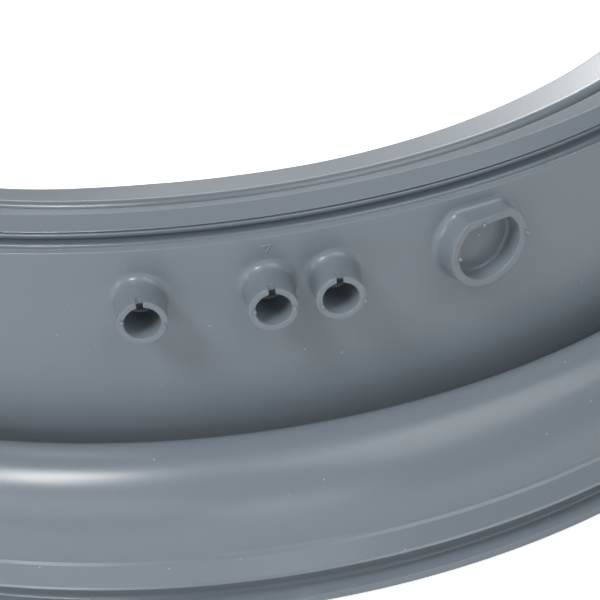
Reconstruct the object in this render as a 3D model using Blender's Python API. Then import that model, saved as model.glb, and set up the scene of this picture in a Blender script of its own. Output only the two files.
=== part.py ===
# Washing machine door seal: one moulded rubber bellows ring, standing on its
# tub side with the cabinet side up. The ring's axis is Z, the foot is at z = 0
# and the three spigots point along -Y. All sizes are in metres.
#
# The section is drawn once, from the mouth lip over the rib, down the neck,
# round the fold, over the crest and the dome to the tub flange, and back along
# the hidden side. It is turned round Z. The spigots and the D-shaped boss are
# lofted from the neck's surface, so that their root fillets follow its curve.

import math

import bmesh
import bpy
from mathutils import Vector

# Whole ring
TOTAL_HEIGHT = 0.0798
WALL = 0.0030
RING_SIDES = 56

# Mouth lip, which the door glass closes on; it slopes down into the mouth
MOUTH_RADIUS = 0.1437
LIP_SLOPE = 16.3
LIP_THICKNESS = 0.0024
LIP_TIP_ROUND = 0.0010
LIP_ROOT_THICKNESS = 0.0058
SHOULDER_RADIUS = 0.1569
SHOULDER_STEP = 0.0005
SHOULDER_ROUND = 0.0016

# Rim groove, and the rib that rises outwards beside it
RIM_SLOPE = 27.9
RIM_GROOVE_DEPTH = 0.0030
RIB_INNER_RADIUS = 0.1600
RIB_CREST_RADIUS = 0.1715
RIB_OUTER_RADIUS = 0.1750
RIB_FACE_DROP = 0.0020
RIB_EDGE_HEIGHT = 0.0014

# Groove that takes the edge of the cabinet's hole, and the ledge under it
PANEL_GROOVE_RADIUS = 0.1728
LEDGE_DROP = 0.0028
LEDGE_SLOPE = 25.7
COLLAR_THICKNESS = 0.0030
COLLAR_ROUND = 0.0010

# Neck: a cone that leans inwards a little on its way down
NECK_TOP_RADIUS = 0.1811
NECK_LEAN = 0.7

# Fold between the neck and the dome
FOLD_BOTTOM_DROP = 0.0636
FOLD_ROUND = 0.0021
HIDDEN_FOLD_ROUND = 0.0036
HIDDEN_CREST_DROP = 0.0009

# Crest and dome
CREST_DROP = 0.0476
CREST_ROUND = 0.0040
CREST_INNER_RADIUS = 0.1850
DOME_OUTER_RADIUS = 0.2040
DOME_END_DROP = 0.0657

# Band, clamp channel and flange on the tub side
BAND_STEP = 0.0010
BAND_LOW_RADIUS = 0.2074
BAND_LOW_DROP = 0.0708
CHANNEL_RADIUS = 0.2030
CHANNEL_ROUND = 0.0012
CHANNEL_TOP_SLOPE = 4.0
FLANGE_RADIUS = 0.2089
FLANGE_THICKNESS = 0.0037
FLANGE_BEVEL_WIDTH = 0.0016
FLANGE_BEVEL_HEIGHT = 0.0012
BEAD_HEIGHT = 0.0006
BEAD_WIDTH = 0.0012
BEAD_TOP_WIDTH = 0.0005

# Slot that sits on the tub's rim, and the lip inside it
SLOT_WIDTH = 0.0036
SLOT_DEPTH = 0.0105
SLOT_SIDE = 0.0025
INNER_LIP_THICKNESS = 0.0035
INNER_LIP_ROUND = 0.0009
SEAT_THICKNESS = 0.0045
SEAT_BEVEL = 0.0018

# Spigots: their places across the ring, and their sizes
SPIGOT_PLACES = (-0.0247, 0.0010, 0.0145)
SPIGOT_DROP = 0.0145
SPIGOT_TILT = 2.2
SPIGOT_RADIUS = 0.0050
SPIGOT_LENGTH = 0.0089
SPIGOT_DRAFT = 0.0004
SPIGOT_BORE_RADIUS = 0.00365
NOTCH_WIDTH = 0.0014
NOTCH_DEPTH = 0.0019
SPIGOT_SIDES = 24

# D-shaped boss with a blind pocket: its place round the ring, and the heading
# of its axis. Its flat stays below this share of its round part's radius.
BOSS_AZIMUTH = 14.6
BOSS_HEADING = 19.7
BOSS_DROP = 0.0140
BOSS_TILT = 0.0
BOSS_RADIUS = 0.0093
BOSS_FLAT_HEIGHT = 0.0077
BOSS_LENGTH = 0.0047
BOSS_WALL = 0.0018
BOSS_POCKET_DEPTH = 0.0043
BOSS_FLOOR_ROUND = 0.0008
BOSS_ARC_STEPS = 20
BOSS_FLAT_STEPS = 4
HIGHEST_FLAT = 0.98

# Root fillet of every port, and the depth its foot sinks into the neck
ROOT_FILLET = 0.0012
ROOT_FILLET_STEPS = 3
ROOT_FIRST_ANGLE = 8.0
ROOT_SINK = 0.0010

# Gap in the flange's bead that lines the seal up with the tub
GAP_AZIMUTH = 0.0
GAP_WIDTH = 0.0035

# Steps along the dome's quarter ellipse, outside and on its hidden side
DOME_STEPS = 7
DOME_FIRST_ANGLE = 78.0
HIDDEN_DOME_STEPS = 4
HIDDEN_DOME_FIRST_ANGLE = 84.0
HIDDEN_DOME_LAST_ANGLE = 12.0

EDGE_ROUND = 0.0003
ARC_TOLERANCE = 0.0002
CUT_CLEARANCE = 0.0010
SHADE_SHARP_ANGLE = 34.0

RUBBER_COLOUR = (0.235, 0.275, 0.305, 1.0)
RUBBER_ROUGHNESS = 0.55
RUBBER_METALLIC = 0.0


def clear_scene():
    for item in list(bpy.data.objects):
        bpy.data.objects.remove(item, do_unlink=True)


def rubber_material():
    """Grey moulded EPDM rubber."""
    material = bpy.data.materials.new("grey_rubber")
    material.use_nodes = True
    shader = material.node_tree.nodes["Principled BSDF"]
    shader.inputs["Base Color"].default_value = RUBBER_COLOUR
    shader.inputs["Roughness"].default_value = RUBBER_ROUGHNESS
    shader.inputs["Metallic"].default_value = RUBBER_METALLIC
    material.diffuse_color = RUBBER_COLOUR
    return material


def neck_radius(drop):
    """Outer radius of the neck's cone at a drop below the rib's crest."""
    return NECK_TOP_RADIUS - (drop - LEDGE_DROP) * math.tan(math.radians(NECK_LEAN))


def rim_fall(run):
    """Fall of the rib's slopes over a run towards the axis."""
    return run * math.tan(math.radians(RIM_SLOPE))


def ledge_drop(radius):
    """Drop of the ledge's slope at a radius; its outer edge is the highest."""
    return LEDGE_DROP + (NECK_TOP_RADIUS - radius) * math.tan(math.radians(LEDGE_SLOPE))


def rounded(corners):
    """Turns corners (radius, drop, round) into points, with an arc at each
    corner that has a round. The arc is tangent to both sides of its corner."""
    points = []
    count = len(corners)
    for index, (radius, drop, fillet) in enumerate(corners):
        here = Vector((radius, drop))
        before = Vector(corners[index - 1][:2]) - here
        after = Vector(corners[(index + 1) % count][:2]) - here
        turn = math.pi - before.angle(after)
        if fillet <= 0.0 or turn < 0.01:
            points.append(here)
            continue
        reach = fillet * math.tan(turn / 2.0)
        start = here + before.normalized() * reach
        bisector = (before.normalized() + after.normalized()).normalized()
        centre = here + bisector * (fillet / math.cos(turn / 2.0))
        widest = 2.0 * math.acos(max(0.0, 1.0 - ARC_TOLERANCE / fillet))
        steps = max(1, round(turn / widest))
        arm = start - centre
        side = 1.0 if before.x * after.y - before.y * after.x < 0.0 else -1.0
        for step in range(steps + 1):
            angle = side * turn * step / steps
            cosine, sine = math.cos(angle), math.sin(angle)
            points.append(centre + Vector((arm.x * cosine - arm.y * sine,
                                           arm.x * sine + arm.y * cosine)))
    return points


def shoulder_drop():
    """Drop of the shoulder where the mouth lip starts."""
    return rim_fall(RIB_CREST_RADIUS - RIB_INNER_RADIUS) + SHOULDER_STEP


def lip_corners():
    """Tip of the mouth lip, its slope and the shoulder."""
    shoulder = shoulder_drop()
    fall = (SHOULDER_RADIUS - MOUTH_RADIUS) * math.tan(math.radians(LIP_SLOPE))
    return [
        (MOUTH_RADIUS, shoulder + fall + LIP_THICKNESS, LIP_TIP_ROUND),
        (MOUTH_RADIUS, shoulder + fall, LIP_TIP_ROUND),
        (SHOULDER_RADIUS, shoulder, SHOULDER_ROUND),
    ]


def rim_corners():
    """Rim groove, rib, panel groove and ledge."""
    rib_inner = rim_fall(RIB_CREST_RADIUS - RIB_INNER_RADIUS)
    groove_floor = rib_inner + RIM_GROOVE_DEPTH
    rib_under = RIB_FACE_DROP + RIB_EDGE_HEIGHT
    under_inner = rib_under + rim_fall(RIB_OUTER_RADIUS - PANEL_GROOVE_RADIUS)
    return [
        (SHOULDER_RADIUS, groove_floor, 0.0),
        (RIB_INNER_RADIUS, groove_floor, 0.0),
        (RIB_INNER_RADIUS, rib_inner, EDGE_ROUND),
        (RIB_CREST_RADIUS, 0.0, EDGE_ROUND),
        (RIB_OUTER_RADIUS, RIB_FACE_DROP, EDGE_ROUND),
        (RIB_OUTER_RADIUS, rib_under, 0.0),
        (PANEL_GROOVE_RADIUS, under_inner, 0.0),
        (PANEL_GROOVE_RADIUS, ledge_drop(PANEL_GROOVE_RADIUS), EDGE_ROUND),
        (NECK_TOP_RADIUS, LEDGE_DROP, EDGE_ROUND),
    ]


def fold_corners():
    """Valley between the foot of the neck and the inner side of the crest."""
    return [
        (neck_radius(FOLD_BOTTOM_DROP), FOLD_BOTTOM_DROP, FOLD_ROUND),
        (CREST_INNER_RADIUS, FOLD_BOTTOM_DROP, FOLD_ROUND),
    ]


def dome_points(inset, first, last, steps):
    """Quarter ellipse of the dome, from the crest's top (90 degrees) to the
    band (0 degrees), drawn in by an inset for its hidden side."""
    middle = CREST_INNER_RADIUS + CREST_ROUND
    across = DOME_OUTER_RADIUS - middle - inset
    height = DOME_END_DROP - CREST_DROP - inset
    points = []
    for step in range(steps + 1):
        angle = math.radians(first + (last - first) * step / steps)
        points.append((middle + across * math.cos(angle),
                       DOME_END_DROP - height * math.sin(angle), 0.0))
    return points


def tub_corners():
    """Band, clamp channel, flange with its bead, and the foot."""
    floor = TOTAL_HEIGHT - FLANGE_THICKNESS
    slope = math.tan(math.radians(CHANNEL_TOP_SLOPE))
    ceiling = BAND_LOW_DROP + (BAND_LOW_RADIUS - CHANNEL_RADIUS) * slope
    bead_slope = (BEAD_WIDTH - BEAD_TOP_WIDTH) / 2.0
    return [
        (DOME_OUTER_RADIUS + BAND_STEP, DOME_END_DROP + BAND_STEP, 0.0),
        (BAND_LOW_RADIUS, BAND_LOW_DROP, EDGE_ROUND),
        (CHANNEL_RADIUS, ceiling, 0.0),
        (CHANNEL_RADIUS, floor, CHANNEL_ROUND),
        (FLANGE_RADIUS - BEAD_WIDTH, floor, 0.0),
        (FLANGE_RADIUS - BEAD_WIDTH + bead_slope, floor - BEAD_HEIGHT, 0.0),
        (FLANGE_RADIUS - bead_slope, floor - BEAD_HEIGHT, 0.0),
        (FLANGE_RADIUS, floor, 0.0),
        (FLANGE_RADIUS, TOTAL_HEIGHT - FLANGE_BEVEL_HEIGHT, 0.0),
        (FLANGE_RADIUS - FLANGE_BEVEL_WIDTH, TOTAL_HEIGHT, 0.0),
    ]


def slot_corners():
    """Slot for the tub's rim and the inner lip beside it, up to the seat."""
    outer = CHANNEL_RADIUS - SLOT_SIDE
    inner = outer - SLOT_WIDTH
    lip = inner - INNER_LIP_THICKNESS
    slot_top = TOTAL_HEIGHT - SLOT_DEPTH
    seat = slot_top - SEAT_THICKNESS
    return [
        (outer, TOTAL_HEIGHT, 0.0),
        (outer, slot_top, 0.0),
        (inner, slot_top, 0.0),
        (inner, TOTAL_HEIGHT, 0.0),
        (lip, TOTAL_HEIGHT, INNER_LIP_ROUND),
        (lip, seat + SEAT_BEVEL, 0.0),
        (lip + SEAT_BEVEL, seat, 0.0),
        (DOME_OUTER_RADIUS - WALL, seat, 0.0),
    ]


def hidden_fold_corners():
    """Hidden side of the crest's inner leg and of the fold."""
    leg = CREST_INNER_RADIUS + WALL
    low = FOLD_BOTTOM_DROP + WALL
    return [
        (leg, CREST_DROP + WALL + HIDDEN_CREST_DROP, 0.0),
        (leg, low, HIDDEN_FOLD_ROUND),
        (neck_radius(FOLD_BOTTOM_DROP) - WALL, low, HIDDEN_FOLD_ROUND),
    ]


def collar_corners():
    """Hidden side of the neck, of the collar under the rim and of the lip."""
    neck_inner = NECK_TOP_RADIUS - WALL / math.cos(math.radians(NECK_LEAN))
    corner = PANEL_GROOVE_RADIUS - COLLAR_THICKNESS / 2.0
    return [
        (neck_inner, ledge_drop(neck_inner) + COLLAR_THICKNESS, COLLAR_ROUND),
        (corner, ledge_drop(PANEL_GROOVE_RADIUS) + COLLAR_THICKNESS, WALL),
        (SHOULDER_RADIUS, shoulder_drop() + LIP_ROOT_THICKNESS, WALL),
    ]


def section():
    """The closed outline of the ring's section as (radius, drop) points."""
    corners = lip_corners() + rim_corners() + fold_corners()
    corners.append((CREST_INNER_RADIUS, CREST_DROP, CREST_ROUND))
    corners += dome_points(0.0, DOME_FIRST_ANGLE, 0.0, DOME_STEPS)
    corners += tub_corners() + slot_corners()
    corners += dome_points(WALL, HIDDEN_DOME_LAST_ANGLE, HIDDEN_DOME_FIRST_ANGLE,
                           HIDDEN_DOME_STEPS)
    corners += hidden_fold_corners() + collar_corners()
    return rounded(corners)


def make_ring(material):
    """The section as a closed loop, turned round Z by a Screw modifier."""
    points = section()
    mesh = bpy.data.meshes.new("door_seal")
    vertices = [(point.x, 0.0, TOTAL_HEIGHT - point.y) for point in points]
    edges = [(index, (index + 1) % len(points)) for index in range(len(points))]
    mesh.from_pydata(vertices, edges, [])
    mesh.materials.append(material)
    ring = bpy.data.objects.new("door_seal", mesh)
    bpy.context.collection.objects.link(ring)
    turn = ring.modifiers.new("turn", "SCREW")
    turn.axis = "Z"
    turn.angle = math.tau
    turn.steps = RING_SIDES
    turn.render_steps = RING_SIDES
    turn.use_merge_vertices = True
    turn.merge_threshold = 0.00002
    turn.use_smooth_shade = True
    return ring


class PortFrame:
    """Directions of a port: outwards along its axis, across and upwards. The
    root is where the axis meets the neck's surface."""

    def __init__(self, root, heading, tilt):
        self.root = root
        self.axis = Vector((math.sin(heading) * math.cos(tilt),
                            -math.cos(heading) * math.cos(tilt), math.sin(tilt)))
        self.across = Vector((math.cos(heading), math.sin(heading), 0.0))
        self.up = self.across.cross(-self.axis)

    def reach(self, sideways, upwards):
        """Distance along the axis from the root to the neck's surface, for a
        line that runs beside the axis: a line meeting a cone."""
        start = self.root + self.across * sideways + self.up * upwards
        slope = math.tan(math.radians(NECK_LEAN))
        base = neck_radius(TOTAL_HEIGHT - start.z)
        step = self.axis.z * slope
        a = self.axis.x ** 2 + self.axis.y ** 2 - step ** 2
        b = 2.0 * (start.x * self.axis.x + start.y * self.axis.y - base * step)
        c = start.x ** 2 + start.y ** 2 - base ** 2
        return (-b + math.sqrt(b * b - 4.0 * a * c)) / (2.0 * a)

    def point(self, sideways, upwards, outwards):
        return (self.root + self.across * sideways + self.up * upwards
                + self.axis * outwards)


def spigot_frame(place):
    """Frame of a spigot at a place across the ring. All point along -Y."""
    radius = neck_radius(SPIGOT_DROP)
    outwards = math.sqrt(radius ** 2 - place ** 2)
    root = Vector((place, -outwards, TOTAL_HEIGHT - SPIGOT_DROP))
    return PortFrame(root, 0.0, math.radians(SPIGOT_TILT))


def boss_frame():
    """Frame of the D-shaped boss."""
    radius = neck_radius(BOSS_DROP)
    azimuth = math.radians(BOSS_AZIMUTH)
    root = Vector((radius * math.sin(azimuth), -radius * math.cos(azimuth),
                   TOTAL_HEIGHT - BOSS_DROP))
    return PortFrame(root, math.radians(BOSS_HEADING), math.radians(BOSS_TILT))


def round_outline(radius):
    """Outline function of a round port, grown or shrunk by its argument."""
    def outline(growth):
        size = radius + growth
        angles = [math.tau * index / SPIGOT_SIDES for index in range(SPIGOT_SIDES)]
        return [(size * math.cos(angle), size * math.sin(angle)) for angle in angles]
    return outline


def d_outline(radius, flat_height):
    """Outline function of a D with its flat on top, grown by its argument."""
    def outline(growth):
        size = radius + growth
        flat = min(flat_height + growth, size * HIGHEST_FLAT)
        corner = math.asin(flat / size)
        sweep = math.pi + 2.0 * corner
        points = []
        for index in range(BOSS_ARC_STEPS + 1):
            angle = math.pi - corner + sweep * index / BOSS_ARC_STEPS
            points.append((size * math.cos(angle), size * math.sin(angle)))
        half = size * math.cos(corner)
        for index in range(1, BOSS_FLAT_STEPS):
            points.append((half - 2.0 * half * index / BOSS_FLAT_STEPS, flat))
        return points
    return outline


def loft(bm, rings):
    """Skins rings of points and closes both ends with a fan of faces."""
    loops = [[bm.verts.new(point) for point in ring] for ring in rings]
    count = len(loops[0])
    for lower, upper in zip(loops, loops[1:]):
        for index in range(count):
            after = (index + 1) % count
            bm.faces.new((lower[index], lower[after], upper[after], upper[index]))
    for loop, outwards in ((loops[0], False), (loops[-1], True)):
        middle = bm.verts.new(sum((vertex.co for vertex in loop), Vector()) / count)
        for index in range(count):
            pair = (loop[index], loop[(index + 1) % count])
            face = pair if outwards else pair[::-1]
            bm.faces.new((*face, middle))


def port_rings(frame, outline, length, draft):
    """Rings of a port from inside the neck's wall to its flat end. The first
    ones follow the neck and widen into the root fillet."""
    stations = [(-ROOT_SINK, ROOT_FILLET)]
    for step in range(ROOT_FILLET_STEPS + 1):
        sweep = (90.0 - ROOT_FIRST_ANGLE) * step / ROOT_FILLET_STEPS
        angle = math.radians(ROOT_FIRST_ANGLE + sweep)
        stations.append((ROOT_FILLET * (1.0 - math.cos(angle)) - EDGE_ROUND,
                         ROOT_FILLET * (1.0 - math.sin(angle))))
    rings = []
    for height, growth in stations:
        rings.append([frame.point(x, y, frame.reach(x, y) + height)
                      for x, y in outline(growth + draft)])
    rings.append([frame.point(x, y, length) for x, y in outline(0.0)])
    return rings


def cutter_rings(frame, outline, depths):
    """Rings of a straight cutter at the given (outwards, growth) stations."""
    return [[frame.point(x, y, outwards) for x, y in outline(growth)]
            for outwards, growth in depths]


def notch_rings(frame):
    """A small block over the upper edge of a spigot's end."""
    half = NOTCH_WIDTH / 2.0
    low = SPIGOT_BORE_RADIUS / 2.0
    high = SPIGOT_RADIUS + SPIGOT_DRAFT + CUT_CLEARANCE
    corners = [(half, low), (half, high), (-half, high), (-half, low)]
    return [[frame.point(x, y, outwards) for x, y in corners]
            for outwards in (SPIGOT_LENGTH - NOTCH_DEPTH, SPIGOT_LENGTH + CUT_CLEARANCE)]


def gap_rings():
    """A block that takes out the flange's bead over the gap."""
    heading = math.radians(GAP_AZIMUTH)
    outwards = Vector((math.sin(heading), -math.cos(heading), 0.0))
    across = Vector((math.cos(heading), math.sin(heading), 0.0))
    low = FLANGE_THICKNESS - BEAD_HEIGHT / 2.0
    high = FLANGE_THICKNESS + BEAD_HEIGHT + CUT_CLEARANCE
    near = FLANGE_RADIUS - BEAD_WIDTH - CUT_CLEARANCE
    far = FLANGE_RADIUS + CUT_CLEARANCE
    half = GAP_WIDTH / 2.0
    base = [(near, -half), (far, -half), (far, half), (near, half)]
    return [[outwards * out + across * side + Vector((0.0, 0.0, height))
             for out, side in base] for height in (low, high)]


def make_helper(name, lofts):
    """A hidden object of closed lofts, used by a Boolean modifier."""
    bm = bmesh.new()
    for rings in lofts:
        loft(bm, rings)
    bmesh.ops.recalc_face_normals(bm, faces=bm.faces)
    mesh = bpy.data.meshes.new(name)
    bm.to_mesh(mesh)
    bm.free()
    helper = bpy.data.objects.new(name, mesh)
    bpy.context.collection.objects.link(helper)
    helper.hide_render = True
    helper.display_type = "WIRE"
    return helper


def add_boolean(ring, helper, operation):
    """Joins or cuts a helper's lofts, with the exact solver."""
    boolean = ring.modifiers.new(helper.name, "BOOLEAN")
    boolean.operation = operation
    boolean.solver = "EXACT"
    boolean.object = helper


def add_ports(ring):
    """Three notched spigots and the D-shaped boss on the neck."""
    spigots = [spigot_frame(place) for place in SPIGOT_PLACES]
    boss = boss_frame()
    spigot_outline = round_outline(SPIGOT_RADIUS)
    bore_outline = round_outline(SPIGOT_BORE_RADIUS)
    boss_outline = d_outline(BOSS_RADIUS, BOSS_FLAT_HEIGHT)
    pocket_outline = d_outline(BOSS_RADIUS - BOSS_WALL, BOSS_FLAT_HEIGHT - BOSS_WALL)

    bodies = [port_rings(frame, spigot_outline, SPIGOT_LENGTH, SPIGOT_DRAFT)
              for frame in spigots]
    bodies.append(port_rings(boss, boss_outline, BOSS_LENGTH, SPIGOT_DRAFT))
    add_boolean(ring, make_helper("port_bodies", bodies), "UNION")

    through = [(-WALL - 2.0 * CUT_CLEARANCE, 0.0), (SPIGOT_LENGTH + CUT_CLEARANCE, 0.0)]
    floor = BOSS_LENGTH - BOSS_POCKET_DEPTH
    blind = [(floor, -BOSS_FLOOR_ROUND), (floor + BOSS_FLOOR_ROUND, 0.0),
             (BOSS_LENGTH + CUT_CLEARANCE, 0.0)]
    bores = [cutter_rings(frame, bore_outline, through) for frame in spigots]
    bores.append(cutter_rings(boss, pocket_outline, blind))
    add_boolean(ring, make_helper("port_bores", bores), "DIFFERENCE")

    notches = [notch_rings(frame) for frame in spigots] + [gap_rings()]
    add_boolean(ring, make_helper("port_notches", notches), "DIFFERENCE")


def shade(ring):
    """Smooth shading, with the moulded edges kept sharp."""
    ring.data.shade_smooth()
    ring.data.set_sharp_from_angle(angle=math.radians(SHADE_SHARP_ANGLE))


def main():
    clear_scene()
    ring = make_ring(rubber_material())
    shade(ring)
    add_ports(ring)


main()
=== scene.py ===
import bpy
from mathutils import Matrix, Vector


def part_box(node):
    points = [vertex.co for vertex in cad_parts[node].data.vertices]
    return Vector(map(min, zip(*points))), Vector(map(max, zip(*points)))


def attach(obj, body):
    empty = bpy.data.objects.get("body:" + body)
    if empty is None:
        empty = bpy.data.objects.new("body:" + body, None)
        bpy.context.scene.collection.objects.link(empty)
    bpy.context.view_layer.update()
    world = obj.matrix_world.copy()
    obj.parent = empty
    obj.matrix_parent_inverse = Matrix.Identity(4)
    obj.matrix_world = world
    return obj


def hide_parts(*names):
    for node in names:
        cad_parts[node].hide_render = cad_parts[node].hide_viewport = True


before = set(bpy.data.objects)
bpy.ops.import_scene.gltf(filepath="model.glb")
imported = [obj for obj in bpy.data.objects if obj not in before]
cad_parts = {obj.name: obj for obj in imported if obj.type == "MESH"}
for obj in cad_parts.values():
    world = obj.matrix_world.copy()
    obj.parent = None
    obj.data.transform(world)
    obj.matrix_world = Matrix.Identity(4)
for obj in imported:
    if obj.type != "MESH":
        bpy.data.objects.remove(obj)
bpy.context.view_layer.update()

import math

import bmesh
import bpy
import numpy as np
from mathutils import Matrix, Vector

# Washing machine door seal: the finished look of one moulded rubber ring.
# Lengths are in millimetres and angles in degrees, unless a name says otherwise.
# A section point is (radius, drop): the radius from the ring's axis, and the drop
# below the rib's crest. An azimuth starts at -Y and grows towards +X.
MM = 0.001
NODE_LOW, NODE_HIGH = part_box("door_seal")
CREST_HEIGHT = NODE_HIGH.z / MM
FLANGE_RADIUS = NODE_HIGH.x / MM

# Mouth lip and shoulder
MOUTH_RADIUS = 143.7
LIP_SLOPE = 16.3
LIP_THICKNESS = 2.4
LIP_ROOT_THICKNESS = 5.8
SHOULDER_RADIUS = 156.9
SHOULDER_STEP = 0.5

# Sag of the soft lip's tip at some azimuths, as the photographed seal lies
LIP_SAG_AZIMUTHS = (-60.0, -30.0, -21.0, -17.0, -12.5, -8.0, 0.0, 8.0, 17.0, 28.0, 60.0)
LIP_SAG = (0.0, 1.3, 1.15, 0.8, 0.25, -0.1, -0.2, 0.0, -0.1, -0.35, 0.0)

# Rib, its groove, and the small bead under its face
RIM_SLOPE = 27.9
RIM_GROOVE_DEPTH = 3.0
RIB_INNER_RADIUS = 160.0
RIB_CHAMFER = 1.3
RIB_CHAMFER_SLOPE = 41.0
RIB_CREST_RADIUS = 171.5
RIB_OUTER_RADIUS = 175.0
RIB_FACE_DROP = 2.0
RIB_EDGE_HEIGHT = 1.4
RIB_STEP = 0.45
RIB_STEP_HEIGHT = 0.5

# Panel groove, ledge and neck
PANEL_GROOVE_RADIUS = 174.4
LEDGE_DROP = 2.8
LEDGE_SLOPE = 34.0
LEDGE_BEVEL_WIDTH = 1.05
LEDGE_BEVEL_HEIGHT = 0.52
COLLAR_THICKNESS = 3.0
NECK_TOP_RADIUS = 181.1
NECK_LEAN = 0.7
WALL = 3.0

# Fold, crest and dome
FOLD_BOTTOM_DROP = 63.6
FOLD_ROUND = 2.1
CREST_DROP = 47.6
CREST_ROUND = 4.0
CREST_INNER_RADIUS = 185.0
DOME_OUTER_RADIUS = 204.0
DOME_END_DROP = 65.7
DOME_END_ANGLE = 22.0

# Band, clamp channel, flange and the slot for the tub's rim
BAND_STEP = 0.9
BAND_STEP_DROP = 1.08
RIDGE_HEIGHT = 0.07
RIDGE_WIDTH = 0.28
BAND_LOW_RADIUS = 207.4
BAND_LOW_DROP = 70.8
FLASH_HEIGHT = 0.24
FLASH_WIDTH = 0.5
CHANNEL_RADIUS = 203.9
CHANNEL_ROUND = 1.0
CHANNEL_FLOOR_DROP = 77.5
FLANGE_DROP = 77.75
FLANGE_BEVEL_WIDTH = 1.6
FLANGE_BEVEL_HEIGHT = 0.8
FLANGE_SLOPE_WIDTH = 1.05
GAP_HALF_ANGLE = 0.46
GAP_BEVEL_ANGLE = 0.22
GAP_DEPTH = 0.8
GAP_WIDTH_IN = 2.2
SLOT_OUTER_RADIUS = 200.5
SLOT_WIDTH = 3.6
SLOT_DEPTH = 10.5
INNER_LIP_THICKNESS = 3.5
SEAT_THICKNESS = 4.5
SEAT_BEVEL = 1.8

# Ports: three spigots and the D-shaped boss
SPIGOT_PLACES = (-24.7, 1.0, 14.5)
SPIGOT_DROP = 14.5
SPIGOT_TILT = 2.2
SPIGOT_RADIUS = 5.0
SPIGOT_BORE_RADIUS = 3.65
SPIGOT_LENGTH = 8.9
SPIGOT_FILLET = 1.7
NOTCH_WIDTH = 1.4
NOTCH_DEPTH = 1.9
BORE_NECK_RADIUS = 2.9
BORE_NECK_BACK = 0.6
BOSS_AZIMUTH = 14.6
BOSS_HEADING = 19.7
BOSS_DROP = 14.0
BOSS_RADIUS = 9.3
BOSS_FLAT_HEIGHT = 7.7
BOSS_WALL = 1.8
BOSS_LENGTH = 4.7
BOSS_POCKET_DEPTH = 4.3
BOSS_FILLET = 1.4
BOSS_CORNER = 0.12
POCKET_FLOOR_ROUND = 0.8
PORT_EDGE = 0.2

# Vent pips that the mould leaves on the ports' ends, by (across, up) from the axis
SPIGOT_PIPS = (((-3.91, 0.96), (4.23, -1.16)),
               ((-3.79, 0.24), (4.21, -0.12)),
               ((-3.85, -1.15), (4.77, -1.16)))
BOSS_PIPS = ((-1.69, 6.27), (9.18, 0.42), (-7.45, 0.13))
PIP_RADIUS = 0.42
PIP_HEIGHT = 0.75
PIP_SUNK = 0.3
PIP_COLUMNS = 16

# Raised triangle mark above the middle spigot: (azimuth, drop) of its corners
TRIANGLE_CORNERS = ((0.13, 4.8), (0.73, 4.8), (0.40, 6.4))
TRIANGLE_BEAD_RADIUS = 0.17
TRIANGLE_COLUMNS = 8

# Rounds of the section's corners
EDGE = 0.18
CRISP_ROUND = 0.08
WORN_ROUND = 0.12
SMALL_ROUND = 0.15
INSIDE_ROUND = 0.3
RIB_CREST_ROUND = 0.2
RIB_FACE_ROUND = 0.35
RIB_UNDER_ROUND = 0.38
PANEL_GROOVE_ROUND = 0.6
SHOULDER_ROUND = 1.6
LIP_ROUNDS = (1.0, 0.8)
LIP_ROOT_ROUND = 3.0
FOLD_INNER_ROUND = 3.5

# Grid of the ring
GUARD = 0.12
GUARD_SHARE = 0.3
FINE_ROUND = 0.6
FINE_ARC_STEPS = 3
ARC_STEPS = 8
PORT_TOP_DROP = 3.9
PORT_BOTTOM_DROP = 26.5
INNER_TOP_DROP = 9.3
INNER_BOTTOM_DROP = 19.8
PORT_ROWS = 20
PORT_COLUMNS = 20
SPIGOT_1_SPAN = (-10.45, -5.25)
SPIGOT_2_SPAN = (-2.3, 2.457)
SPIGOT_3_SPAN = (2.457, 7.2)
BOSS_SPAN = (10.9, 18.3)
NEAR_STEP = 1.5
FAR_STEP = 4.0
NEAR_SPAN = (-45.0, 51.0)
NOTCH_HALF_COLUMNS = 2

# Meshes: the turn past which an edge is sharp, and how near points are merged
SHARP_ANGLE = 38.0
SAME_PLACE = 0.0001

# Rubber's surface. The real grain is finer than 0.1 mm, too fine to show here, so it
# is drawn as coarse as it needs to show. Dust specks stand one to a cell, and only in
# the share of cells above SPECK_FREE_SHARE do they grow from the least to the most radius.
RUBBER_TONES = ("#7d8790", "#7f8991")
DUST_COLOUR = "#b4b8b6"
GRAIN_WIDTH = 0.769
SPECK_SPACING = 3.846
SPECK_LEAST_RADIUS = 0.0385
SPECK_MOST_RADIUS = 0.223
SPECK_FREE_SHARE = 0.55

# Camera: turns are yaw, pitch and roll, and the rise is above the rib's crest
IMAGE_WIDTH = 600
CAMERA_FOCAL_PIXELS = 1300.0
CAMERA_TURN = (3.794, 36.729, -4.590)
CAMERA_DISTANCE = 392.30
CAMERA_RISE = 139.06
CAMERA_AZIMUTH = -2.17

# Softboxes in metres round a place near the spigots: name, azimuth, elevation,
# width, height and watts. An azimuth of 0 is in front (-Y), and 270 is at the left (-X).
LIGHT_AIM = (0.02, -0.185, 0.05)
LIGHT_DISTANCE = 1.3
SOFTBOXES = (
    ("key_softbox", 308.0, 54.0, 0.32, 0.40, 7.8),
    ("left_softbox", 290.0, 10.0, 0.40, 0.34, 2.6),
    ("front_left_softbox", 328.0, 20.0, 0.80, 0.45, 1.2),
    ("front_top_softbox", 25.0, 72.0, 0.80, 0.60, 1.0),
    ("front_low_softbox", 2.0, 9.0, 0.50, 0.30, 1.0),
    ("front_right_softbox", 48.0, 52.0, 1.10, 0.80, 5.6),
    ("back_softbox", 180.0, 16.0, 1.80, 0.50, 6.2),
    ("back_left_softbox", 215.0, 18.0, 0.90, 0.45, 1.2),
    ("back_right_softbox", 143.0, 20.0, 1.10, 0.45, 7.5),
)

# Stage: the world's fill light, the floor's whiteness to the camera, and its size
SKY_FILL = 0.05
FLOOR_GLOW = 0.75
FLOOR_HALF_M = 3.0
FLOOR_GAP_M = 0.0002


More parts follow.
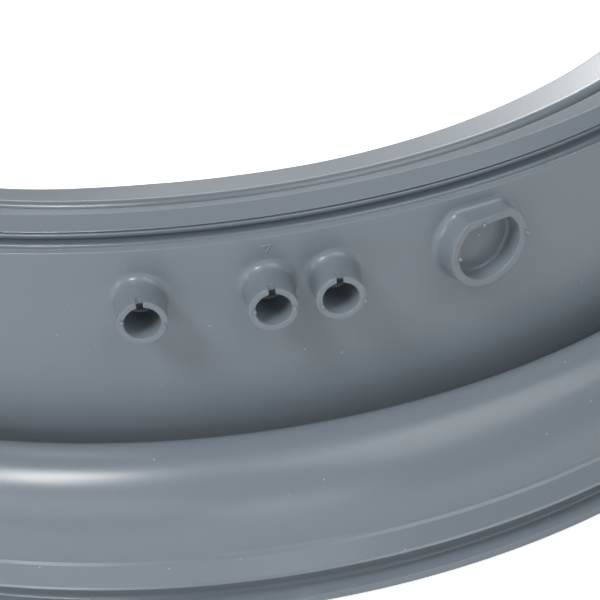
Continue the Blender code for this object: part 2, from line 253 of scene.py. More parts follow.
def rim_fall(run):
    """Fall of the rim's parallel slopes over a run towards the axis."""
    return run * math.tan(math.radians(RIM_SLOPE))


def neck_radius(drop):
    """Outer radius of the neck, a cone that leans in on its way down."""
    return NECK_TOP_RADIUS - (drop - LEDGE_DROP) * math.tan(math.radians(NECK_LEAN))


def ledge_drop(radius):
    """Drop at a radius of the slope that falls from the ledge's ridge to the axis."""
    run = NECK_TOP_RADIUS - LEDGE_BEVEL_WIDTH - radius
    return LEDGE_DROP - LEDGE_BEVEL_HEIGHT + run * math.tan(math.radians(LEDGE_SLOPE))


def rounded_line(corners):
    """A line through corners (radius, drop, round), with an arc at each corner.

    The arc is tangent to both sides: it starts at a reach of round x tan(turn / 2)
    from the corner and turns about a centre on the corner's bisector. A guard point
    beside each end of the arc keeps the shading of the flat sides even."""
    places = np.array([corner[:2] for corner in corners])
    sides = np.diff(places, axis=0)
    lengths = np.linalg.norm(sides, axis=1)
    sides /= lengths[:, None]
    cross = sides[:-1, 0] * sides[1:, 1] - sides[:-1, 1] * sides[1:, 0]
    turns = np.arctan2(cross, (sides[:-1] * sides[1:]).sum(1))
    rounds = np.array([corner[2] for corner in corners[1:-1]])
    reach = np.concatenate(([0.0], rounds * np.tan(np.abs(turns) / 2.0), [0.0]))
    guard = np.minimum(GUARD, GUARD_SHARE * (lengths - reach[:-1] - reach[1:]))
    parts = [places[:1]]
    for index, turn in enumerate(turns, 1):
        ahead = sides[index - 1]
        start = places[index] - ahead * reach[index]
        across = np.array((-ahead[1], ahead[0])) * np.sign(turn) * rounds[index - 1]
        steps = FINE_ARC_STEPS if rounds[index - 1] < FINE_ROUND else ARC_STEPS
        angle = np.abs(turn) * np.linspace(0.0, 1.0, steps + 1)[:, None]
        arc = (start + across * (1.0 - np.cos(angle))
               + ahead * rounds[index - 1] * np.sin(angle))
        after = places[index] + sides[index] * (reach[index] + guard[index])
        parts += [(start - ahead * guard[index - 1])[None], arc, after[None]]
    return np.vstack((*parts, places[-1:]))


def dome_line(inset, first, last, steps):
    """Part of the dome's ellipse, between two angles. Its crest is at 90 degrees,
    and it meets the band at DOME_END_ANGLE before it gets upright."""
    middle = CREST_INNER_RADIUS + CREST_ROUND
    end = math.radians(DOME_END_ANGLE)
    across = (DOME_OUTER_RADIUS - middle) / math.cos(end)
    height = (DOME_END_DROP - CREST_DROP) / (1.0 - math.sin(end))
    angle = np.radians(np.linspace(first, last, steps + 1))
    return np.stack((middle + (across - inset) * np.cos(angle),
                     CREST_DROP + height - (height - inset) * np.sin(angle)), 1)


def rim_line():
    """From the top of the outer neck over the ledge, the panel groove, the rib,
    the rim groove and the lip to the top of the neck's inner side."""
    rib_inner = rim_fall(RIB_CREST_RADIUS - RIB_INNER_RADIUS)
    groove_floor = rib_inner + RIM_GROOVE_DEPTH
    chamfer_radius = RIB_INNER_RADIUS - RIB_CHAMFER
    chamfer_drop = rib_inner + RIB_CHAMFER * math.tan(math.radians(RIB_CHAMFER_SLOPE))
    under = RIB_FACE_DROP + RIB_EDGE_HEIGHT
    under_inner = under + rim_fall(RIB_OUTER_RADIUS - PANEL_GROOVE_RADIUS)
    step_radius = RIB_OUTER_RADIUS - RIB_STEP
    step_drop = RIB_FACE_DROP + RIB_STEP_HEIGHT
    shoulder = rib_inner + SHOULDER_STEP
    lip_fall = math.tan(math.radians(LIP_SLOPE))
    tip = shoulder + (SHOULDER_RADIUS - MOUTH_RADIUS) * lip_fall
    neck_inner = NECK_TOP_RADIUS - WALL
    ledge_inner = ledge_drop(PANEL_GROOVE_RADIUS)
    return rounded_line([
        (NECK_TOP_RADIUS, PORT_TOP_DROP, 0.0),
        (NECK_TOP_RADIUS, LEDGE_DROP, EDGE),
        (NECK_TOP_RADIUS - LEDGE_BEVEL_WIDTH, LEDGE_DROP - LEDGE_BEVEL_HEIGHT, EDGE),
        (PANEL_GROOVE_RADIUS, ledge_inner, PANEL_GROOVE_ROUND),
        (PANEL_GROOVE_RADIUS, under_inner, SMALL_ROUND),
        (RIB_OUTER_RADIUS, under, RIB_UNDER_ROUND),
        (RIB_OUTER_RADIUS, step_drop, RIB_FACE_ROUND),
        (step_radius, step_drop, CRISP_ROUND),
        (step_radius, RIB_FACE_DROP + 0.2, CRISP_ROUND),
        (RIB_OUTER_RADIUS, RIB_FACE_DROP, 0.1),
        (RIB_CREST_RADIUS, 0.0, RIB_CREST_ROUND),
        (RIB_INNER_RADIUS, rib_inner, WORN_ROUND),
        (chamfer_radius, chamfer_drop, SMALL_ROUND),
        (chamfer_radius, groove_floor, 0.4),
        (SHOULDER_RADIUS, groove_floor, INSIDE_ROUND),
        (SHOULDER_RADIUS, shoulder, SHOULDER_ROUND),
        (MOUTH_RADIUS, tip, LIP_ROUNDS[0]),
        (MOUTH_RADIUS, tip + LIP_THICKNESS, LIP_ROUNDS[1]),
        (SHOULDER_RADIUS, shoulder + LIP_ROOT_THICKNESS, LIP_ROOT_ROUND),
        (PANEL_GROOVE_RADIUS - COLLAR_THICKNESS / 2.0, ledge_inner + COLLAR_THICKNESS,
         LIP_ROOT_ROUND),
        (neck_inner, ledge_drop(neck_inner) + COLLAR_THICKNESS, 1.0),
        (neck_inner, INNER_TOP_DROP, 0.0),
    ])


def inner_line():
    """From the neck's inner side round the hidden fold and the hollow of the dome
    to the seat, the inner lip, the tub's slot, the foot, the flange, the clamp
    channel, the band and the start of the dome."""
    foot = CREST_HEIGHT
    outer = SLOT_OUTER_RADIUS
    inner = outer - SLOT_WIDTH
    lip = inner - INNER_LIP_THICKNESS
    slot_top = foot - SLOT_DEPTH
    seat = slot_top - SEAT_THICKNESS
    leg = CREST_INNER_RADIUS + WALL
    low = FOLD_BOTTOM_DROP + WALL
    step = DOME_OUTER_RADIUS + BAND_STEP
    step_drop = DOME_END_DROP + BAND_STEP_DROP
    neck_low = neck_radius(FOLD_BOTTOM_DROP) - WALL
    head = [
        (neck_low + 0.3, INNER_BOTTOM_DROP, 0.0),
        (neck_low, low, FOLD_INNER_ROUND),
        (leg, low, FOLD_INNER_ROUND),
        (leg, CREST_DROP + WALL + 3.0, 0.0),
    ]
    tail = [
        (DOME_OUTER_RADIUS - WALL, DOME_END_DROP - 2.5, 0.0),
        (DOME_OUTER_RADIUS - WALL, seat, INSIDE_ROUND),
        (lip + SEAT_BEVEL, seat, 0.5),
        (lip, seat + SEAT_BEVEL, 0.5),
        (lip, foot, 0.8),
        (inner, foot, INSIDE_ROUND),
        (inner, slot_top, INSIDE_ROUND),
        (outer, slot_top, INSIDE_ROUND),
        (outer, foot, INSIDE_ROUND),
        (FLANGE_RADIUS - FLANGE_BEVEL_WIDTH, foot, INSIDE_ROUND),
        (FLANGE_RADIUS, foot - FLANGE_BEVEL_HEIGHT, INSIDE_ROUND),
        (FLANGE_RADIUS - FLANGE_SLOPE_WIDTH, FLANGE_DROP, WORN_ROUND),
        (CHANNEL_RADIUS, CHANNEL_FLOOR_DROP, CHANNEL_ROUND),
        (CHANNEL_RADIUS, BAND_LOW_DROP + 0.3, INSIDE_ROUND),
        (BAND_LOW_RADIUS + FLASH_HEIGHT, BAND_LOW_DROP, CRISP_ROUND),
        (BAND_LOW_RADIUS + FLASH_HEIGHT - 0.02, BAND_LOW_DROP - 0.15, CRISP_ROUND),
        (BAND_LOW_RADIUS - 0.2, BAND_LOW_DROP - FLASH_WIDTH, 0.4),
        (step + RIDGE_HEIGHT, step_drop, WORN_ROUND),
        (step - 0.1, step_drop - RIDGE_WIDTH, WORN_ROUND),
        (DOME_OUTER_RADIUS + 0.2, DOME_END_DROP + RIDGE_WIDTH, WORN_ROUND),
        (DOME_OUTER_RADIUS + RIDGE_HEIGHT, DOME_END_DROP, 0.1),
        (DOME_OUTER_RADIUS - 0.1, DOME_END_DROP - RIDGE_WIDTH, 0.0),
    ]
    hollow = dome_line(WALL, 80.0, 34.0, 10)
    return np.vstack((rounded_line(head)[1:], hollow, rounded_line(tail)))


def fold_line():
    """From the dome over the crest and round the fold to the foot of the ports."""
    valley = rounded_line([
        (CREST_INNER_RADIUS + CREST_ROUND + 0.2, CREST_DROP, 0.0),
        (CREST_INNER_RADIUS, CREST_DROP, CREST_ROUND - 0.3),
        (CREST_INNER_RADIUS, FOLD_BOTTOM_DROP, FOLD_ROUND),
        (neck_radius(FOLD_BOTTOM_DROP), FOLD_BOTTOM_DROP, FOLD_ROUND),
        (neck_radius(PORT_BOTTOM_DROP), PORT_BOTTOM_DROP, 0.0),
    ])
    return np.vstack((dome_line(0.0, DOME_END_ANGLE + 1.5, 88.0, 26), valley[1:-1]))


def straight_rows(top_drop, bottom_drop, inset):
    """Even rows down the neck, outside or on its inner side."""
    drops = np.linspace(top_drop, bottom_drop, PORT_ROWS + 1)
    return np.stack((neck_radius(drops) - inset, drops), 1)


def ring_section():
    """The closed section, and the places in it of the two bands of rows where the
    ports sit: outside from the bottom up, and inside from the top down."""
    outside = straight_rows(PORT_TOP_DROP, PORT_BOTTOM_DROP, 0.0)[::-1]
    rim = rim_line()[1:-1]
    inside = straight_rows(INNER_TOP_DROP, INNER_BOTTOM_DROP, WALL)
    rest = inner_line()
    fold = fold_line()
    points = np.vstack((outside, rim, inside, rest, fold))
    outside_rows = np.arange(PORT_ROWS, -1, -1)
    first = len(outside) + len(rim)
    inside_rows = np.arange(first, first + PORT_ROWS + 1)
    return points, outside_rows, inside_rows


def ring_azimuths():
    """Azimuths of the columns: even inside each port's span, and coarser away from
    the ports. Also gives the first column of each span."""
    stops = [-180.0, NEAR_SPAN[0], *SPIGOT_1_SPAN, *SPIGOT_2_SPAN, SPIGOT_3_SPAN[1],
             *BOSS_SPAN, NEAR_SPAN[1], 180.0]
    ports = {SPIGOT_1_SPAN[0], SPIGOT_2_SPAN[0], SPIGOT_3_SPAN[0], BOSS_SPAN[0]}
    parts = []
    first_columns = []
    for start, end in zip(stops, stops[1:]):
        step = FAR_STEP if start < NEAR_SPAN[0] or start >= NEAR_SPAN[1] else NEAR_STEP
        count = math.ceil((end - start) / step)
        if start in ports:
            count = PORT_COLUMNS
            first_columns.append(sum(len(part) for part in parts))
        parts.append(np.linspace(start, end, count, endpoint=False))
    return np.radians(np.concatenate(parts)), first_columns


def ring_points(section, azimuths):
    """Turns the section round Z. In the flange's gap its outer edge is lowered,
    with a share that rises from the gap's bevelled ends. The soft mouth lip sags
    by the sag of its azimuth, times the point's share of the way to the tip."""
    radius = section[:, :1] * np.ones(len(azimuths))
    drop = section[:, 1:] * np.ones(len(azimuths))
    away = np.abs(np.degrees(azimuths)) - GAP_HALF_ANGLE
    share = np.clip(1.0 - away / GAP_BEVEL_ANGLE, 0.0, 1.0)
    inwards = np.clip((FLANGE_RADIUS - radius) / GAP_WIDTH_IN, 0.0, 1.0)
    edge = (drop > CHANNEL_FLOOR_DROP - 0.5) & (drop < FLANGE_DROP + 0.3)
    drop = drop + np.where(edge, GAP_DEPTH * share * (1.0 - inwards), 0.0)
    way = np.clip((SHOULDER_RADIUS - radius) / (SHOULDER_RADIUS - MOUTH_RADIUS), 0.0, 1.0)
    drop = drop + way * np.interp(np.degrees(azimuths), LIP_SAG_AZIMUTHS, LIP_SAG)
    height = CREST_HEIGHT - drop
    return np.stack((radius * np.sin(azimuths), -radius * np.cos(azimuths), height), 2)


class Port:
    """Directions of a port: its root on the neck, its axis outwards, its across
    direction and its up direction."""

    def __init__(self, azimuth, heading, drop, tilt):
        radius = neck_radius(drop)
        heading = math.radians(heading)
        tilt = math.radians(tilt)
        self.root = np.array((radius * math.sin(azimuth), -radius * math.cos(azimuth),
                              CREST_HEIGHT - drop))
        self.axis = np.array((math.sin(heading) * math.cos(tilt),
                              -math.cos(heading) * math.cos(tilt), math.sin(tilt)))
        self.across = np.array((math.cos(heading), math.sin(heading), 0.0))
        self.up = np.cross(self.across, -self.axis)

    def flat(self, points):
        """Across and up coordinates of points."""
        arms = points - self.root
        return np.stack((arms @ self.across, arms @ self.up), -1)

    def at(self, flat, outwards):
        """Points from their across and up coordinates and distance outwards."""
        return (self.root + flat[..., :1] * self.across + flat[..., 1:] * self.up
                + np.asarray(outwards)[..., None] * self.axis)

    def reach(self, flat, inset):
        """Distance outwards to the neck's cone, drawn in by an inset, along lines
        beside the axis: the far root of the line and cone's quadratic."""
        start = self.at(flat, np.zeros(flat.shape[:-1]))
        slope = math.tan(math.radians(NECK_LEAN))
        base = neck_radius(CREST_HEIGHT - start[..., 2]) - inset
        step = self.axis[2] * slope
        a = self.axis[0] ** 2 + self.axis[1] ** 2 - step ** 2
        b = 2.0 * (start[..., 0] * self.axis[0] + start[..., 1] * self.axis[1]
                   - base * step)
        c = start[..., 0] ** 2 + start[..., 1] ** 2 - base ** 2
        return (-b + np.sqrt(b * b - 4.0 * a * c)) / (2.0 * a)


def even_angles(count):
    """Angles clockwise from the top, for columns centred on the top."""
    return np.arange(count) * math.tau / count


def round_flat(count, radius, notched):
    """Circle of a spigot. With notched, the first columns on each side of the top
    stand evenly across the notch's width, and the rest share what is left."""
    if not notched:
        angle = even_angles(count)
        return radius * np.stack((np.sin(angle), np.cos(angle)), 1)
    column = np.arange(count)
    side = np.where(column > count // 2, column - count, column)
    edge = NOTCH_HALF_COLUMNS + 1
    start = math.asin(NOTCH_WIDTH / 2.0 / radius)
    share = (np.abs(side) - edge) / (count / 2.0 - edge)
    angle = np.sign(side) * (start + np.clip(share, 0.0, 1.0) * (math.pi - start))
    across = np.where(np.abs(side) < edge,
                      side / NOTCH_HALF_COLUMNS * NOTCH_WIDTH / 2.0,
                      radius * np.sin(angle))
    upward = np.where(np.abs(side) < edge, np.sqrt(radius ** 2 - across ** 2),
                      radius * np.cos(angle))
    return np.stack((across, upward), 1)


def d_flat(count, growth):
    """Outline of the boss: at each angle the smaller of the circle and the flat on
    top, joined by a soft minimum, which rounds the two corners."""
    angle = even_angles(count)
    circle = BOSS_RADIUS + growth
    cosine = np.maximum(np.cos(angle), 0.05)
    flat = np.where(np.cos(angle) > 0.05, (BOSS_FLAT_HEIGHT + growth) / cosine, 1e3)
    low = np.minimum(circle, flat)
    high = np.maximum(circle, flat)
    reach = low - BOSS_CORNER * np.log1p(np.exp((low - high) / BOSS_CORNER))
    return reach[:, None] * np.stack((np.sin(angle), np.cos(angle)), 1)


def root_rows(port, loop, outline, fillet):
    """Rows from the grid's opening to the top of the root fillet. They lie on the
    neck up to the fillet, then rise round a quarter circle."""
    start = port.flat(loop)
    rim = outline(fillet)
    rows = []
    for share in (0.3, 0.6, 0.85, 1.0):
        flat = start + (rim - start) * share
        rows.append(port.at(flat, port.reach(flat, 0.0)))
    for angle in np.radians(np.linspace(12.0, 90.0, 7)):
        flat = outline(fillet * (1.0 - math.sin(angle)))
        rise = fillet * (1.0 - math.cos(angle))
        rows.append(port.at(flat, port.reach(flat, 0.0) + rise))
    return rows


def spigot_rows(port, loop, inner_loop):
    """Rows of a spigot: root, wall, notched end, bore, and the neck's inner side
    round the bore. In the notch the end's rows are held at the notch's floor."""
    count = len(loop)
    column = np.arange(count)
    side = np.minimum(column, count - column)
    in_notch = side <= NOTCH_HALF_COLUMNS
    floor = SPIGOT_LENGTH - NOTCH_DEPTH
    rows = root_rows(port, loop, lambda growth: round_flat(count, SPIGOT_RADIUS + growth, False),
                     SPIGOT_FILLET)
    wall = round_flat(count, SPIGOT_RADIUS, False)
    rise = port.reach(wall, 0.0) + SPIGOT_FILLET
    for share in (0.5, 1.0):
        rows.append(port.at(wall, rise + (floor - 0.5 - rise) * share))
    for radius, height in spigot_end_line(floor):
        flat = round_flat(count, radius, True)
        rows.append(port.at(flat, np.where(in_notch, floor, height)))
    for radius, height in bore_line(floor):
        rows.append(port.at(round_flat(count, radius, False), np.full(count, height)))
    rim = round_flat(count, BORE_NECK_RADIUS + EDGE, False)
    rows.append(port.at(rim, port.reach(rim, WALL)))
    end = port.flat(inner_loop)
    for share in (0.3, 0.65):
        flat = rim + (end - rim) * share
        rows.append(port.at(flat, port.reach(flat, WALL)))
    return np.array(rows)


def spigot_end_line(floor):
    """(radius, height) of the spigot's end: outer wall, rounded edge, flat end,
    rounded edge and the start of the bore. Each edge is a quarter circle, moved by
    edge x (1 - cos) across and edge x (1 - sin) down."""
    angle = np.radians((0.0, 30.0, 60.0, 90.0))
    outer = np.stack((SPIGOT_RADIUS - PORT_EDGE * (1.0 - np.cos(angle)),
                      SPIGOT_LENGTH - PORT_EDGE * (1.0 - np.sin(angle))), 1)
    inner = np.stack((SPIGOT_BORE_RADIUS + PORT_EDGE * (1.0 - np.cos(angle)),
                      SPIGOT_LENGTH - PORT_EDGE * (1.0 - np.sin(angle))), 1)[::-1]
    return np.vstack(((SPIGOT_RADIUS, floor), outer,
                      (SPIGOT_RADIUS - PORT_EDGE - GUARD, SPIGOT_LENGTH),
                      (SPIGOT_BORE_RADIUS + PORT_EDGE + GUARD, SPIGOT_LENGTH),
                      inner, (SPIGOT_BORE_RADIUS, floor)))


def bore_line(floor):
    """(radius, height) of the bore from below the notch to the narrower end that
    opens into the ring, past a small shoulder with a rounded corner."""
    shoulder = -BORE_NECK_BACK
    return ((SPIGOT_BORE_RADIUS, floor - 0.5), (SPIGOT_BORE_RADIUS, shoulder + 0.35),
            (SPIGOT_BORE_RADIUS - 0.08, shoulder + 0.1),
            (SPIGOT_BORE_RADIUS - 0.3, shoulder), (BORE_NECK_RADIUS + 0.15, shoulder),
            (BORE_NECK_RADIUS, shoulder - 0.15), (BORE_NECK_RADIUS, EDGE - WALL))


def boss_rows(port, loop):
    """Rows of the boss: root, wall, flat end, pocket wall, floor fillet and floor.
    The last row is the floor's middle point, once for each column."""
    count = len(loop)
    rows = root_rows(port, loop, lambda growth: d_flat(count, growth), BOSS_FILLET)
    wall = d_flat(count, 0.0)
    rise = port.reach(wall, 0.0) + BOSS_FILLET
    top = BOSS_LENGTH - PORT_EDGE
    rows.append(port.at(wall, rise + (top - rise) * 0.6))
    angle = np.radians((0.0, 30.0, 60.0, 90.0))
    growths = PORT_EDGE * (np.cos(angle) - 1.0)
    heights = top + PORT_EDGE * np.sin(angle)
    line = list(zip(growths, heights))
    line += [(-PORT_EDGE - GUARD, BOSS_LENGTH), (-BOSS_WALL + PORT_EDGE + GUARD, BOSS_LENGTH)]
    line += [(-BOSS_WALL - growth, height) for growth, height in line[3::-1]]
    floor = BOSS_LENGTH - BOSS_POCKET_DEPTH
    line += [(-BOSS_WALL, floor + POCKET_FLOOR_ROUND + 0.4)]
    turn = np.radians(np.linspace(0.0, 90.0, 6))
    line += list(zip(-BOSS_WALL - POCKET_FLOOR_ROUND * (1.0 - np.cos(turn)),
                     floor + POCKET_FLOOR_ROUND * (1.0 - np.sin(turn))))
    line += [(-BOSS_WALL - POCKET_FLOOR_ROUND - GUARD, floor)]
    for growth, height in line:
        rows.append(port.at(d_flat(count, growth), np.full(count, height)))
    last = d_flat(count, -BOSS_WALL - POCKET_FLOOR_ROUND - GUARD)
    for share in (0.6, 0.25, 0.0):
        rows.append(port.at(last * share, np.full(count, floor)))
    return np.array(rows)


def loop_indices(rows, first, width):
    """Vertex numbers round a port's opening in the grid, clockwise from the middle
    of its top as seen from outside."""
    last = first + PORT_COLUMNS
    middle = first + PORT_COLUMNS // 2
    top, bottom = rows[0], rows[-1]
    across = np.arange(middle, last + 1)
    parts = [top * width + across,
             rows[1:] * width + last,
             bottom * width + np.arange(last - 1, first - 1, -1),
             rows[-2::-1] * width + first,
             top * width + np.arange(first + 1, middle)]
    return np.concatenate(parts)


def strip_faces(loops):
    """Four-sided faces between successive closed loops of vertex numbers."""
    here = loops[:-1]
    below = loops[1:]
    return np.stack((here, below, np.roll(below, -1, 1), np.roll(here, -1, 1)),
                    2).reshape(-1, 4)


def ring_quads(rows, width):
    """Four-sided faces of the ring's grid, which closes on itself both ways."""
    numbers = np.arange(rows * width).reshape(rows, width)
    up = np.roll(numbers, -1, 0)
    return np.stack((numbers, np.roll(numbers, -1, 1), np.roll(up, -1, 1), up), 2)


def seal_mesh():
    """Vertices and faces of the whole seal: the turned section with an opening in
    its grid for each port, and the ports' rows sewn into the openings."""
    section, outside, inside = ring_section()
    azimuths, first_columns = ring_azimuths()
    grid = ring_points(section, azimuths)
    rows, width = grid.shape[:2]
    ring = grid.reshape(-1, 3)
    open_mask = np.zeros((rows, width), bool)
    vertices = [ring]
    faces = []
    total = len(ring)
    for first, place in zip(first_columns, (*SPIGOT_PLACES, None)):
        columns = slice(first, first + PORT_COLUMNS)
        open_mask[outside.min():outside.max(), columns] = True
        loop = loop_indices(outside, first, width)
        if place is None:
            loops = [loop]
            new_rows = boss_rows(boss_port(), ring[loop])
        else:
            open_mask[inside.min():inside.max(), columns] = True
            loops = [loop, loop_indices(inside, first, width)]
            new_rows = spigot_rows(spigot_port(place), ring[loop], ring[loops[1]])
        new = total + np.arange(len(new_rows) * len(loop)).reshape(-1, len(loop))
        total += new.size
        vertices.append(new_rows.reshape(-1, 3))
        faces.append(strip_faces(np.vstack((loop, new, *loops[1:]))))
    faces.append(ring_quads(rows, width)[~open_mask])
    return np.vstack(vertices) * MM, np.vstack(faces)


def boss_port():
    """The D-shaped boss's port."""
    return Port(math.radians(BOSS_AZIMUTH), BOSS_HEADING, BOSS_DROP, 0.0)


def spigot_port(place):
    """The port of a spigot at a place along X. All three spigots are parallel."""
    azimuth = math.asin(place / neck_radius(SPIGOT_DROP))
    return Port(azimuth, 0.0, SPIGOT_DROP, SPIGOT_TILT)


def pip_points(port, place, end):
    """Rows of a vent pip: a short post, sunk into the port's end, with a round top.
    On the top the radius shrinks as cos(turn) and the height grows as sin(turn). The
    first and last rows are poles: one point, once for each column."""
    turn = np.radians((0.0, 25.0, 50.0, 75.0, 90.0))
    radius = PIP_RADIUS * np.concatenate(((0.0, 1.0, 1.0), np.cos(turn)))
    straight = PIP_HEIGHT - PIP_RADIUS
    height = np.concatenate(((-PIP_SUNK, -PIP_SUNK, 0.0),
                             straight + PIP_RADIUS * np.sin(turn)))
    angle = even_angles(PIP_COLUMNS)
    flat = np.array(place) + radius[:, None, None] * np.stack((np.sin(angle), np.cos(angle)), 1)
    return port.at(flat, end + height[:, None] * np.ones(PIP_COLUMNS)).reshape(-1, 3)


def pips_mesh():
    """Vertices and faces of all vent pips, on the spigots' ends and the boss's."""
    sets = [pip_points(boss_port(), place, BOSS_LENGTH) for place in BOSS_PIPS]
    for x_place, places in zip(SPIGOT_PLACES, SPIGOT_PIPS):
        port = spigot_port(x_place)
        sets += [pip_points(port, place, SPIGOT_LENGTH) for place in places]
    count = len(sets[0])
    loops = np.arange(count).reshape(-1, PIP_COLUMNS)
    starts = (np.arange(len(sets)) * count)[:, None, None]
    return np.vstack(sets) * MM, (strip_faces(loops) + starts).reshape(-1, 4)


def triangle_mesh():
    """Vertices and faces of the raised triangle: a closed bead on the neck. At each
    corner its section is stretched along the mitre (ahead - next) / sin(turn)."""
    places = np.array(TRIANGLE_CORNERS)
    azimuth = np.radians(places[:, 0])
    radial = np.stack((np.sin(azimuth), -np.cos(azimuth), np.zeros(3)), 1)
    corners = radial * neck_radius(places[:, 1:])
    corners[:, 2] = CREST_HEIGHT - places[:, 1]
    after = np.roll(corners, -1, 0) - corners
    after /= np.linalg.norm(after, axis=1)[:, None]
    before = np.roll(after, 1, 0)
    sine = np.linalg.norm(np.cross(before, after), axis=1)
    mitre = (before - after) / sine[:, None]
    angle = even_angles(TRIANGLE_COLUMNS)[:, None]
    rings = corners[:, None] + TRIANGLE_BEAD_RADIUS * (
        np.cos(angle) * mitre[:, None] + np.sin(angle) * radial[:, None])
    loops = np.arange(3 * TRIANGLE_COLUMNS).reshape(3, TRIANGLE_COLUMNS)
    return rings.reshape(-1, 3) * MM, strip_faces(np.vstack((loops, loops[:1])))[:, ::-1]


def close_seams(mesh):
    """Merges points that lie in one place, as at poles and in the notches' corners. Faces
    there become triangles, and those that this folds up are dropped."""
    shape = bmesh.new()
    shape.from_mesh(mesh)
    bmesh.ops.remove_doubles(shape, verts=shape.verts, dist=SAME_PLACE * MM)
    shape.to_mesh(mesh)
    shape.free()


def mesh_piece(name, vertices, quads, material):
    """A mesh object from arrays, smooth but for edges that turn past SHARP_ANGLE."""
    mesh = bpy.data.meshes.new(name)
    mesh.vertices.add(len(vertices))
    mesh.vertices.foreach_set("co", vertices.astype(np.float32).ravel())
    mesh.loops.add(quads.size)
    mesh.loops.foreach_set("vertex_index", quads.astype(np.int32).ravel())
    mesh.polygons.add(len(quads))
    mesh.polygons.foreach_set("loop_start", np.arange(0, quads.size, 4, dtype=np.int32))
    mesh.update(calc_edges=True)
    mesh.validate()
    close_seams(mesh)
    mesh.shade_smooth()
    mesh.set_sharp_from_angle(angle=math.radians(SHARP_ANGLE))
    mesh.materials.append(material)
    piece = bpy.data.objects.new(name, mesh)
    bpy.context.scene.collection.objects.link(piece)
    return piece


def linear_colour(code):
    """Linear RGBA of an sRGB hex colour, by the sRGB curve."""
    values = np.array([int(code[i:i + 2], 16) for i in (1, 3, 5)]) / 255.0
    linear = np.where(values <= 0.04045, values / 12.92, ((values + 0.055) / 1.055) ** 2.4)
    return (*linear.tolist(), 1.0)


def add_node(tree, kind, settings=None, links=None):
    """Adds a node. Settings are attributes or input values; links name an input and
    the (node, output) that feeds it."""
    node = tree.nodes.new(kind)
    for key, value in (settings or {}).items():
        if key in node.inputs:
            node.inputs[key].default_value = value
        else:
            setattr(node, key, value)
    for key, (source, output) in (links or {}).items():
        tree.links.new(source.outputs[output], node.inputs[key])
    return node


def moulded_epdm():
    """Grey EPDM rubber, compression moulded: a satin face with a soft wide sheen,
    a faint fine grain in its tone and a few pale specks of dust."""
    material = bpy.data.materials.new("moulded_epdm_rubber")
    material.use_nodes = True
    tree = material.node_tree
    shader = tree.nodes["Principled BSDF"]
    shader.inputs["IOR"].default_value = 1.58
    shader.inputs["Roughness"].default_value = 0.275
    place = add_node(tree, "ShaderNodeTexCoord")
    grain = add_node(tree, "ShaderNodeTexNoise",
                     {"Scale": 1.0 / (GRAIN_WIDTH * MM), "Detail": 2.0},
                     {"Vector": (place, "Object")})
    tone = add_node(tree, "ShaderNodeMix", {"data_type": "RGBA"},
                    {"Factor": (grain, "Fac")})
    tone.inputs["A"].default_value = linear_colour(RUBBER_TONES[0])
    tone.inputs["B"].default_value = linear_colour(RUBBER_TONES[1])
    cells = add_node(tree, "ShaderNodeTexVoronoi", {"Scale": 1.0 / (SPECK_SPACING * MM)},
                     {"Vector": (place, "Object")})
    chance = add_node(tree, "ShaderNodeSeparateColor", None, {"Color": (cells, "Color")})
    speck_size = add_node(tree, "ShaderNodeMapRange",
                          {"From Min": SPECK_FREE_SHARE,
                           "To Min": SPECK_LEAST_RADIUS / SPECK_SPACING,
                           "To Max": SPECK_MOST_RADIUS / SPECK_SPACING},
                          {"Value": (chance, "Red")})
    speck = add_node(tree, "ShaderNodeMath", {"operation": "LESS_THAN"},
                     {0: (cells, "Distance"), 1: (speck_size, "Result")})
    dusted = add_node(tree, "ShaderNodeMix", {"data_type": "RGBA"},
                      {"Factor": (speck, "Value")})
    dusted.inputs["B"].default_value = linear_colour(DUST_COLOUR)
    tree.links.new(tone.outputs["Result"], dusted.inputs["A"])
    tree.links.new(dusted.outputs["Result"], shader.inputs["Base Color"])
    return material


def make_camera():
    """Camera at the photograph's viewing angle, fitted to the ring's edges."""
    yaw, pitch, roll = (math.radians(angle) for angle in CAMERA_TURN)
    ahead = Vector((math.sin(yaw) * math.cos(pitch), math.cos(yaw) * math.cos(pitch),
                    -math.sin(pitch)))
    level = Vector((math.cos(yaw), -math.sin(yaw), 0.0))
    upright = level.cross(ahead)
    right = level * math.cos(roll) + upright * math.sin(roll)
    up = upright * math.cos(roll) - level * math.sin(roll)
    data = bpy.data.cameras.new("camera")
    data.sensor_width = 36.0
    data.lens = CAMERA_FOCAL_PIXELS / IMAGE_WIDTH * data.sensor_width
    data.clip_start = 0.01
    camera = bpy.data.objects.new("camera", data)
    bpy.context.scene.collection.objects.link(camera)
    turned = Matrix((right, up, -ahead)).transposed().to_4x4()
    place = Vector((0.0, -CAMERA_DISTANCE * MM,
                    (CREST_HEIGHT + CAMERA_RISE) * MM))
    camera.matrix_world = (Matrix.Rotation(math.radians(CAMERA_AZIMUTH), 4, "Z")
                           @ Matrix.Translation(place) @ turned)
    bpy.context.scene.camera = camera


def make_softbox(name, azimuth, elevation, width, height, watts):
    """A softbox that faces the spigots from an azimuth and elevation."""
    data = bpy.data.lights.new(name, "AREA")
    data.shape = "RECTANGLE"
    data.size = width
    data.size_y = height
    data.energy = watts
    turn, lift = math.radians(azimuth), math.radians(elevation)
    away = Vector((math.sin(turn) * math.cos(lift), -math.cos(turn) * math.cos(lift),
                   math.sin(lift)))
    light = bpy.data.objects.new(name, data)
    bpy.context.scene.collection.objects.link(light)
    light.location = Vector(LIGHT_AIM) + LIGHT_DISTANCE * away
    light.rotation_euler = away.to_track_quat("Z", "Y").to_euler()


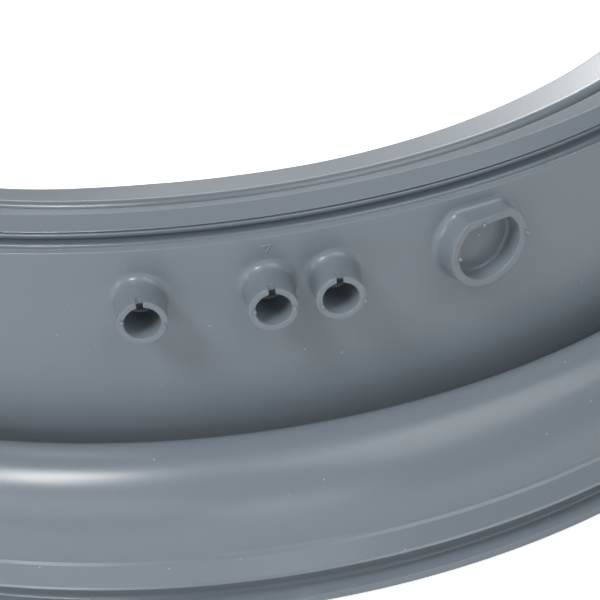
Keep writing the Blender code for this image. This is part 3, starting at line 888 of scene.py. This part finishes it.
def make_world():
    """Studio air: white to the camera, and a weak even fill light on the seal."""
    world = bpy.data.worlds.new("white_studio")
    world.use_nodes = True
    bpy.context.scene.world = world
    tree = world.node_tree
    sky = tree.nodes["Background"]
    sky.inputs["Color"].default_value = (1.0, 1.0, 1.0, 1.0)
    path = add_node(tree, "ShaderNodeLightPath")
    strength = add_node(tree, "ShaderNodeMapRange", {"To Min": SKY_FILL, "To Max": 1.0},
                        {"Value": (path, "Is Camera Ray")})
    tree.links.new(strength.outputs["Result"], sky.inputs["Strength"])


def white_paper():
    """White paper, uncoated: matt. It glows to the camera alone, so that it looks
    white and still takes the seal's shadow."""
    material = bpy.data.materials.new("white_paper_floor")
    material.use_nodes = True
    tree = material.node_tree
    paper = tree.nodes["Principled BSDF"]
    paper.inputs["Base Color"].default_value = (0.9, 0.9, 0.9, 1.0)
    paper.inputs["Roughness"].default_value = 0.9
    path = add_node(tree, "ShaderNodeLightPath")
    glow = add_node(tree, "ShaderNodeMath", {"operation": "MULTIPLY"},
                    {0: (path, "Is Camera Ray")})
    glow.inputs[1].default_value = FLOOR_GLOW
    paper.inputs["Emission Color"].default_value = (1.0, 1.0, 1.0, 1.0)
    tree.links.new(glow.outputs["Value"], paper.inputs["Emission Strength"])
    return material


def make_floor():
    """A square sheet of paper just under the seal's foot."""
    corners = FLOOR_HALF_M * np.array(((-1.0, -1.0, 0.0), (1.0, -1.0, 0.0),
                                       (1.0, 1.0, 0.0), (-1.0, 1.0, 0.0)))
    corners[:, 2] = NODE_LOW.z - FLOOR_GAP_M
    floor = mesh_piece("paper_floor", corners, np.array(((0, 1, 2, 3),)), white_paper())


def main():
    """The three rubber pieces of the one moulding, then the camera, stage and lights."""
    rubber = moulded_epdm()
    seal = mesh_piece("seal_surface", *seal_mesh(), rubber)
    pips = mesh_piece("vent_pips", *pips_mesh(), rubber)
    triangle = mesh_piece("triangle_mark", *triangle_mesh(), rubber)
    for piece in (seal, pips, triangle):
        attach(piece, "root")
    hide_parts("door_seal")
    make_camera()
    make_world()
    make_floor()
    for softbox in SOFTBOXES:
        make_softbox(*softbox)
    bpy.context.scene.view_settings.view_transform = "Standard"


main()
